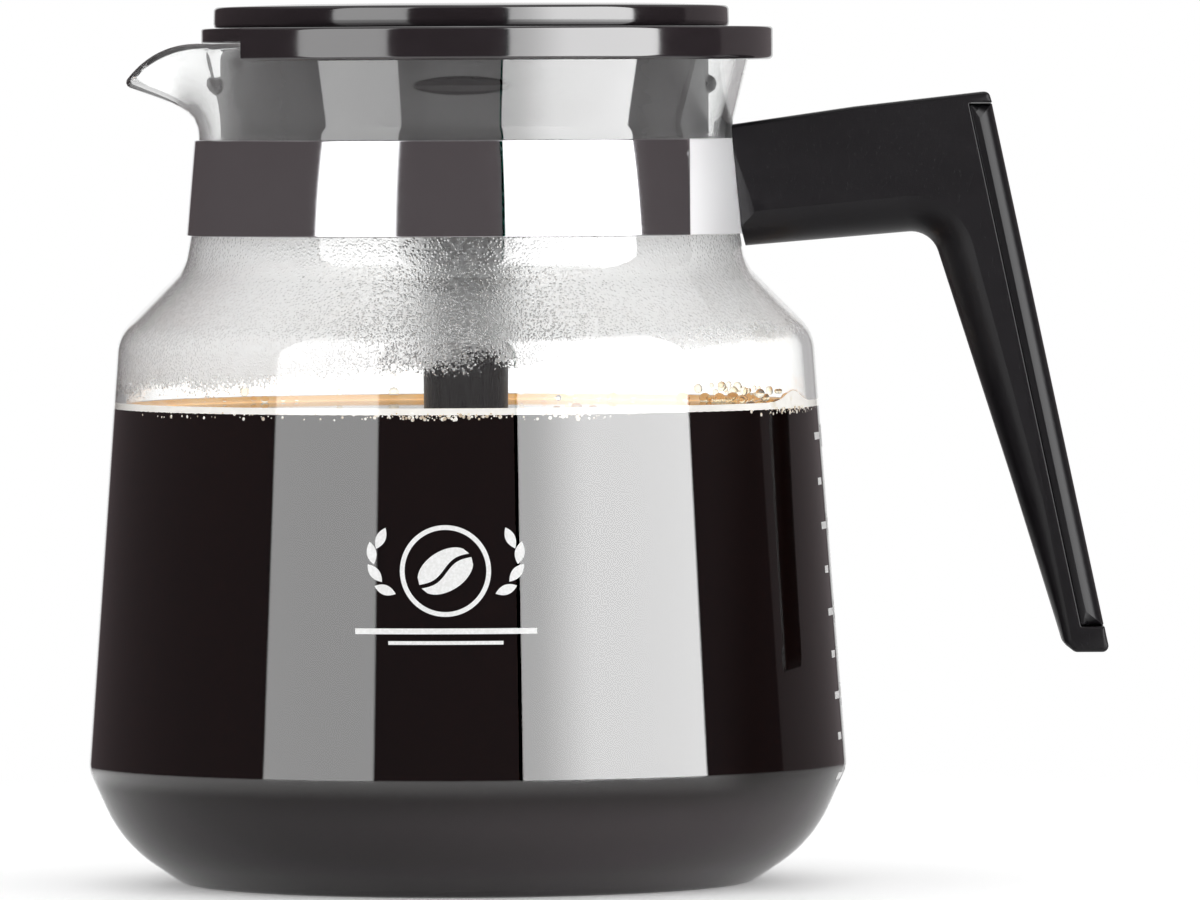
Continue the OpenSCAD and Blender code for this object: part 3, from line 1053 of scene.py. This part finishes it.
def strip_tree():
    """Runs a strip with rolled edges along a route; within the hoop's reach it leans in as it rises."""
    tree, given = open_tree("strip_along_route", "Route",
                            ("Width", "Thickness", "Foot", "Lean", "Hoop reach"))
    thickness = Value(tree, given["Thickness"])
    route = add_node(tree, "GeometryNodeMeshToCurve", Mesh=given["Route"])
    level = add_node(tree, "GeometryNodeSetCurveNormal", {"mode": "Z_UP"}, Curve=route.outputs[0])
    section = add_node(tree, "GeometryNodeCurvePrimitiveQuadrilateral",
                       Width=thickness, Height=given["Width"])
    rolled = add_node(tree, "GeometryNodeFilletCurve", {"mode": "POLY"}, Curve=section.outputs[0],
                      Count=4, Radius=thickness * 0.49)
    swept = add_node(tree, "GeometryNodeCurveToMesh", Curve=level.outputs[0],
                     Profile_Curve=rolled.outputs[0], Fill_Caps=True)
    place = add_node(tree, "GeometryNodeInputPosition")
    x, y, z = (Value(tree, s) for s in add_node(tree, "ShaderNodeSeparateXYZ", s0=place.outputs[0]).outputs)
    away = (x * x + y * y).math("SQRT")
    on_hoop = away.math("LESS_THAN", Value(tree, given["Hoop reach"]))
    lean = (z - Value(tree, given["Foot"])) * Value(tree, given["Lean"]) * on_hoop / away
    shift = add_node(tree, "ShaderNodeCombineXYZ", X=x * lean * -1, Y=y * lean * -1, Z=0.0)
    leant = add_node(tree, "GeometryNodeSetPosition", Geometry=swept.outputs[0], Offset=shift.outputs[0])
    return close_tree(tree, given, leant.outputs[0])


def make_band():
    """The route runs along the middle of the strip, half its thickness outside the liner."""
    radius = NECK_R + LINER_T
    route = [Vector(p) for p in band_route(radius)]
    points = []
    for i, p in enumerate(route):
        ahead = route[min(i + 1, len(route) - 1)] - route[max(i - 1, 0)]
        middle = p + Vector((ahead.y, -ahead.x)).normalized() * BAND_T / 2
        points.append((middle.x * MM, middle.y * MM, (BAND_Z + BAND_W / 2) * MM))
    base = base_object(points, edges=[(k, k + 1) for k in range(len(points) - 1)])
    band = grow("steel_band", base, strip_tree(), Width=BAND_W * MM, Thickness=BAND_T * MM,
                Foot=BAND_Z * MM, Lean=NECK_SLOPE, Hoop_reach=(radius + BAND_T + 0.05) * MM,
                Finish=polished_steel())
    band.data.set_sharp_from_angle(angle=math.radians(35))
    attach(band, "jug")
    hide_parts("neck_band")


make_band()


def liner_finish():
    f = Finish("silicone_liner")
    haze = f.noise(4, 3)
    colour = f.blend(haze, (0.5, 0.5, 0.49, 1), (0.62, 0.62, 0.6, 1))
    return f.end(f.surface(Base_Color=colour, Roughness=0.5 + haze * 0.2, Normal=f.bump(haze, 0.02)))


def zinc_finish():
    f = Finish("zinc_plate")
    spangle = f.noise(0.8, 4)
    colour = f.blend(spangle, (0.5, 0.5, 0.5, 1), (0.66, 0.65, 0.6, 1))
    return f.end(f.surface(Base_Color=colour, Metallic=1.0, Roughness=0.28 + spangle * 0.2,
                           Normal=f.bump(spangle, 0.01)))


def dress(node, finish):
    """Gives a CAD node its material."""
    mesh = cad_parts[node].data
    mesh.materials.clear()
    mesh.materials.append(finish)


dress("band_liner", liner_finish())
ZINC = zinc_finish()
for part in ("clamp_block", "clamp_pin", "clamp_screw", "screw_washer"):
    dress(part, ZINC)

# ---------------------------------------------------------------------------
# The handle.
# A black moulding, deep and flat sided, rounded where the fingers go, with a
# glossy cover strip let into its back over the screw channel.
# ---------------------------------------------------------------------------

HANDLE_W = 18.0
handle_low, handle_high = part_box("handle_body")
TOP_X, TOP_Z = 102.2, handle_high.z / MM
LOW_X, LOW_Z = handle_high.x / MM - 0.7, handle_low.z / MM
COVER_D = 4.6
COVER_LOW_Z, COVER_TOP_Z = LOW_Z + 5, TOP_Z - 2.3


def back_x(z):
    return TOP_X + (LOW_X - TOP_X) * (TOP_Z - z) / (TOP_Z - LOW_Z)


# x, z, corner radius, and how far the rounding of the side edges comes in at that corner
HANDLE_OUTLINE = [
    (50.0, 123.6, 0, 6.6),
    (90.9, 126.9, 5.5, 7.2),
    (108.0, 73.2, 0, 4.4),
    (116.3, 46.2, 2.2, 1.8),
    (118.4, 44.6, 1.2, 1.0),
    (LOW_X, LOW_Z, 1.2, 0.9),
    (back_x(COVER_LOW_Z), COVER_LOW_Z, 0.2, 0.5),
    (back_x(COVER_LOW_Z) - COVER_D, COVER_LOW_Z, 0.4, 0.2),
    (back_x(COVER_TOP_Z) - COVER_D, COVER_TOP_Z, 0.4, 0.2),
    (back_x(COVER_TOP_Z), COVER_TOP_Z, 0.2, 0.5),
    (TOP_X - 0.2, TOP_Z, 1.2, 1.0),
    (76.0, 151.0, 60, 1.0),
    (50.0, 147.3, 0, 1.0),
]


def left_of(p, q):
    along = (Vector(q[:2]) - Vector(p[:2])).normalized()
    return Vector((-along.y, along.x))


def edged_slab(name, outline, width, layers=12, spacing=2.0):
    """A slab with the given side view, whose edges are rounded by a radius that changes along them."""
    half = width / 2
    depth = min(half, 1.35 * max(corner[3] for corner in outline))
    levels = [depth * math.sin(math.pi / 2 * k / layers) - depth for k in range(layers + 1)]
    stations = [-half - level for level in levels[::-1]] + [half + level for level in levels]
    counts = []
    rings = []
    # the widest ring comes first, as it says how many points each side gets
    for y in [0, *stations]:
        path = []
        for i, (x, z, radius, soft) in enumerate(outline):
            # a deep rounding meets the flat side at a slight crease
            arc_r = soft * (1 + 0.1 * min(soft, 4))
            over = max(0.0, abs(y) - half + math.sqrt(arc_r ** 2 - (arc_r - soft) ** 2))
            d = arc_r - math.sqrt(max(0.0, arc_r * arc_r - over * over))
            into = left_of(outline[i - 1], outline[i])
            on = left_of(outline[i], outline[(i + 1) % len(outline)])
            at = Vector((x, z)) + (into + on) * d / (1 + into.dot(on))
            hollow = into.x * on.y - into.y * on.x < 0
            path.append((at.x, at.y, 0 if radius == 0 else max(0.05, radius + (d if hollow else -d))))
        corners = [rounded([(*path[i - 1][:2], 0), here, (*path[(i + 1) % len(path)][:2], 0)], 10)[1:-1]
                   for i, here in enumerate(path)]
        if not counts:
            counts = [max(1, math.ceil((corners[(i + 1) % len(corners)][0] - arc[-1]).length / spacing))
                      for i, arc in enumerate(corners)]
        ring = []
        for i, arc in enumerate(corners):
            ahead = corners[(i + 1) % len(corners)][0]
            ring += arc + [arc[-1].lerp(ahead, k / counts[i]) for k in range(1, counts[i])]
        rings.append([(p.x, y, p.y) for p in ring])
    rings = rings[1:]
    count = len(rings[0])
    faces = grid_faces(len(rings), count)
    faces.append(list(range(count)))
    faces.append([(len(rings) - 1) * count + i for i in range(count)])
    return mesh_object(name, [p for ring in rings for p in ring], faces, sharp=14)


HANDLE_SHARP = math.radians(14)


def cut(piece, tool):
    """Cuts the tool away from the piece for good, and removes the tool."""
    modifier = piece.modifiers.new("cut", "BOOLEAN")
    modifier.operation = "DIFFERENCE"
    modifier.solver = "EXACT"
    modifier.object = tool
    graph = bpy.context.evaluated_depsgraph_get()
    mesh = bpy.data.meshes.new_from_object(piece.evaluated_get(graph))
    piece.modifiers.remove(modifier)
    piece.data = mesh
    bpy.data.objects.remove(tool)
    mesh.shade_smooth()
    mesh.set_sharp_from_angle(angle=HANDLE_SHARP)


def box_tool(low, high):
    corners = [(x, y, z) for x in (low[0], high[0]) for y in (low[1], high[1]) for z in (low[2], high[2])]
    faces = [(0, 1, 3, 2), (4, 6, 7, 5), (0, 4, 5, 1), (2, 3, 7, 6), (0, 2, 6, 4), (1, 5, 7, 3)]
    return mesh_object("tool", corners, faces)


def handle_finish():
    """Satin moulding with a very fine grain and a few hairline scratches."""
    f = Finish("handle_plastic")
    grain = f.noise(0.25, 3)
    wear = f.noise(9, 4, stretch=(0.35, 1, 1.6))
    hair = f.noise(0.7, 2, stretch=(12, 1, 0.6)).ramp(0.66, 0.74)
    colour = f.blend(wear, (0.0034, 0.0026, 0.0036, 1), (0.0060, 0.0050, 0.0064, 1))
    return f.end(f.surface(Base_Color=colour, Specular_IOR_Level=0.3,
                           Roughness=0.3 + grain * 0.08 + wear * 0.06 - hair * 0.1,
                           Normal=f.bump(grain + hair * 0.4, 0.012)))


def cover_finish():
    """The cover strip: the same plastic from a polished mould."""
    f = Finish("cover_plastic")
    wear = f.noise(7, 4, stretch=(0.5, 1, 0.5))
    colour = f.blend(wear, (0.0050, 0.0045, 0.0055, 1), (0.0080, 0.0074, 0.0085, 1))
    return f.end(f.surface(Base_Color=colour, Specular_IOR_Level=0.3, Roughness=0.26 + wear * 0.08,
                           Normal=f.bump(f.noise(0.4, 3), 0.004)))


def make_handle():
    body = edged_slab("handle_moulding", HANDLE_OUTLINE, HANDLE_W)
    nose_r = NECK_R + LINER_T + BAND_T + 0.1
    low, top = 118, 156
    cone = lathe("tool", [(0, low), (nose_r + NECK_SLOPE * (BAND_Z - low), low),
                          (nose_r - NECK_SLOPE * (top - BAND_Z), top), (0, top)], steps=128)
    cut(body, cone)
    pocket = LUG_HALF_GAP + 0.8
    cut(body, box_tool((45, -pocket, BAND_Z + 1), (LUG_REACH + 0.6, pocket, BAND_Z + BAND_W - 1)))
    body.data.materials.append(handle_finish())
    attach(body, "jug")
    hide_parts("handle_body")

    gap = 0.05
    low, top = COVER_LOW_Z + gap, COVER_TOP_Z - gap
    strip = edged_slab("handle_strip", [
        (back_x(low), low, 0.4, 3.0),
        (back_x(top), top, 0.4, 3.0),
        (back_x(top) - COVER_D + gap, top, 0.3, 0.4),
        (back_x(low) - COVER_D + gap, low, 0.3, 0.4),
    ], HANDLE_W)
    strip.data.materials.append(cover_finish())
    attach(strip, "jug")
    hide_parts("handle_cover")


make_handle()

# ---------------------------------------------------------------------------
# The lid.
# Two glossy black mouldings, a plate with its brim and skirt, and the disc
# that covers it, with the long tube pushed into the socket underneath.
# ---------------------------------------------------------------------------

plate_low, plate_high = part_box("lid_body")
disc_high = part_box("lid_cover")[1]
tube_low, tube_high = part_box("mixing_tube")
PLATE_TOP = plate_high.z / MM
PLATE_Z = PLATE_TOP - 2.9
PLATE_R = 51.3
BRIM_R = plate_high.y / MM
BRIM_Z = PLATE_TOP - 6.4
SKIRT_Z = plate_low.z / MM
SKIRT_R = 47.6
DISC_R = disc_high.y / MM
LID_TOP = disc_high.z / MM
INLET_R = 7.0
SOCKET_R = 10.9
SOCKET_Z = 151
BRIM_T = 2.2
# the disc is set a little towards the handle, while the hole in it stays over the tube
DISC_SHIFT = 1.4


def lid_finish(name, gloss, ior):
    """Glossy black plastic with fine rub marks from hands and cloths."""
    f = Finish(name)
    rub = f.noise(6, 5, stretch=(1, 1, 2.5))
    swirl = f.noise(0.9, 3, stretch=(1, 1, 7)).ramp(0.6, 0.75)
    colour = f.blend(rub, (0.0150, 0.0115, 0.0135, 1), (0.0225, 0.0180, 0.0205, 1))
    return f.end(f.surface(Base_Color=colour, IOR=ior, Roughness=gloss + rub * 0.06 + swirl * 0.05,
                           Normal=f.bump(f.noise(18, 2) + swirl * 0.02, 0.02)))


def closed(path, steps=5):
    """A closed outline with rounded corners."""
    points = []
    for i, here in enumerate(path):
        before, after = path[i - 1], path[(i + 1) % len(path)]
        points += rounded([(*before[:2], 0), here, (*after[:2], 0)], steps)[1:-1]
    return [(p.x, p.y) for p in points]


def pads_tree():
    """Repeats a bar bent round the skirt, fullest at its middle, at each point's 'turn'."""
    tree, given = open_tree("centring_pads", "Places", ("Ring radius", "Span", "Thickness"))
    span = Value(tree, given["Span"])
    arc = add_node(tree, "GeometryNodeCurveArc", {"mode": "RADIUS"}, Resolution=25,
                   Radius=given["Ring radius"], Start_Angle=span * -0.5, Sweep_Angle=span)
    along = Value(tree, add_node(tree, "GeometryNodeSplineParameter").outputs["Factor"]) * 2 - 1
    full = (1 - along * along).math("MAXIMUM", 0.0001).math("SQRT")
    circle = add_node(tree, "GeometryNodeCurvePrimitiveCircle", {"mode": "RADIUS"}, Resolution=10,
                      Radius=given["Thickness"])
    pad = add_node(tree, "GeometryNodeCurveToMesh", Curve=arc.outputs[0],
                   Profile_Curve=circle.outputs[0], Scale=full, Fill_Caps=True)
    turn = add_node(tree, "ShaderNodeCombineXYZ", X=0.0, Y=0.0, Z=point_value(tree, "turn"))
    placed = add_node(tree, "GeometryNodeInstanceOnPoints", Points=given["Places"],
                      Instance=pad.outputs[0], Rotation=turn.outputs[0])
    return close_tree(tree, given, placed.outputs[0])


def make_lid():
    gloss = lid_finish("lid_plastic", 0.06, 2.0)
    satin = lid_finish("lid_skirt_plastic", 0.2, 1.45)
    tube_r = tube_high.y / MM
    disc = lathe("lid_disc", closed([
        (INLET_R, PLATE_TOP + 0.15, 0.3), (DISC_R - 0.2, PLATE_TOP + 0.15, 0.3),
        (DISC_R, PLATE_TOP + 0.9, 0), (DISC_R - 0.1, LID_TOP - 0.55, 0.8),
        (DISC_R - 13, LID_TOP - 0.1, 20), (25, LID_TOP, 6), (21, LID_TOP - 0.5, 5),
        (INLET_R + 1.2, PLATE_TOP + 2.1, 2), (INLET_R, PLATE_TOP + 1.3, 0.6),
    ]))
    for vertex in disc.data.vertices:
        away = math.hypot(vertex.co.x, vertex.co.y) / MM
        vertex.co.x += DISC_SHIFT * MM * min(1.0, max(0.0, (away - INLET_R - 1.3) / 12))
    plate = lathe("plate", closed([
        (INLET_R + 0.2, PLATE_Z - 1.5, 0.3), (SOCKET_R, PLATE_Z - 1.5, 0), (SOCKET_R, PLATE_Z, 0.6),
        (SKIRT_R - 2, PLATE_Z, 0.6), (SKIRT_R - 2, SKIRT_Z, 0.5), (SKIRT_R, SKIRT_Z, 0.5),
        (SKIRT_R, PLATE_Z, 0.8), (PLATE_R, PLATE_Z, 0.4), (PLATE_R, PLATE_TOP, 0.4),
        (INLET_R + 0.2, PLATE_TOP, 0.3),
    ]))
    socket = lathe("socket", closed([
        (tube_r + 0.1, SOCKET_Z, 0.3), (SOCKET_R, SOCKET_Z, 0.5),
        (SOCKET_R, PLATE_Z + 0.3, 0), (tube_r + 0.1, PLATE_Z + 0.3, 0),
    ]), steps=96)
    brim = lathe("brim", closed([
        (PLATE_R - 0.7, PLATE_Z, 0), (BRIM_R - BRIM_T, PLATE_Z, 0.8), (BRIM_R - BRIM_T, BRIM_Z, 0.4),
        (BRIM_R, BRIM_Z, 0.9), (BRIM_R, PLATE_TOP, 0.6), (PLATE_R - 0.7, PLATE_TOP, 0),
    ]), start=-135, turn=270, steps=220)
    spots = base_object([(0, 0, PAD_Z * MM)] * len(PAD_TURNS), turn=[math.radians(a) for a in PAD_TURNS])
    pads = grow("pads", spots, pads_tree(), Ring_radius=(SKIRT_R - 0.2) * MM, Span=math.radians(22.8),
                Thickness=PAD_T * MM, Finish=gloss)
    body = merged([plate, socket, brim, pads])
    body.name = "lid_plate"
    body.data.shade_smooth()
    body.data.set_sharp_from_angle(angle=math.radians(32))
    for piece, node in ((disc, "lid_cover"), (body, "lid_body")):
        piece.data.materials.append(gloss)
        piece.data.materials.append(satin)
        for face in piece.data.polygons:
            middle = face.center / MM
            if middle.z < PLATE_Z + 0.5 and math.hypot(middle.x, middle.y) < SKIRT_R + 3:
                face.material_index = 1
        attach(piece, "lid")
        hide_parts(node)


make_lid()


def tube_finish():
    """Satin black tube, drawn smooth along its length."""
    f = Finish("tube_plastic")
    draw = f.noise(1.2, 3, stretch=(1, 1, 0.05))
    colour = f.blend(draw, (0.005, 0.004, 0.0055, 1), (0.010, 0.009, 0.0115, 1))
    return f.end(f.surface(Base_Color=colour, Specular_IOR_Level=0.2, Roughness=0.22 + draw * 0.12,
                           Normal=f.bump(draw, 0.01)))


def make_tube():
    top, foot = tube_high.z / MM, tube_low.z / MM
    r_top, r_foot, wall = tube_high.y / MM, 7.6, 1.3
    slot_half, slot_top = 2, foot + 16
    tube = lathe("tube", closed([
        (r_foot, foot, 0.4), (r_top, top, 0.4), (r_top - wall - 0.4, top, 0.4), (r_foot - wall, foot, 0.4),
    ]), steps=96)
    for x, y in ((12, slot_half), (slot_half, 12)):
        cut(tube, box_tool((-x, -y, foot - 2), (x, y, slot_top)))
    tube.data.materials.append(tube_finish())
    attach(tube, "lid")
    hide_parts("mixing_tube")


make_tube()
